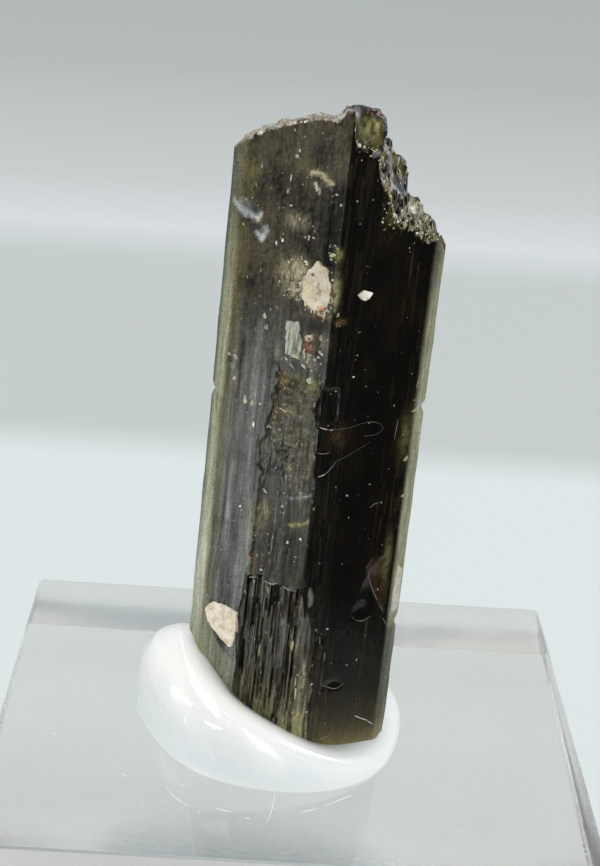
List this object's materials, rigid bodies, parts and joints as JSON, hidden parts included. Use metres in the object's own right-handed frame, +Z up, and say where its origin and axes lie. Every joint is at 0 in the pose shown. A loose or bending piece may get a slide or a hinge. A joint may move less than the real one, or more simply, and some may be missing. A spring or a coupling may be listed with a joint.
{
  "type": "fluoro-richterite specimen",
  "caption": "Dark green amphibole prism with pale calcite grains, held upright by white mineral tack on a clear square display block.",
  "frame": {"origin": "centre of the display block's underside", "axes": "+Z up; -Y is the front, towards which the crystal's dark ridge points; +X is the specimen's right seen from the front"},
  "size_m": [0.0318, 0.0318, 0.0454],
  "materials": {
    "clear_acrylic": "clear, polished",
    "white_tack": "smooth, glossy, milky white putty",
    "dark_green_crystal": "glassy, finely striated, green at thin edges",
    "pink_white_calcite": "satin, finely grained",
    "grey_green_calcite": "satin, striated",
    "iron_stained_calcite": "rough, orange-brown",
    "white_calcite": "satin"
  },
  "bodies": {
    "root": {"acrylic_base": "clear_acrylic", "mineral_tack": "white_tack", "richterite_crystal": "dark_green_crystal", "calcite_grain_upper": "pink_white_calcite", "calcite_grain_middle": "grey_green_calcite", "stained_grain": "iron_stained_calcite", "calcite_speck": "white_calcite", "calcite_grain_lower_left": "pink_white_calcite", "calcite_grain_right_edge": "grey_green_calcite"}
  },
  "joints": []
}
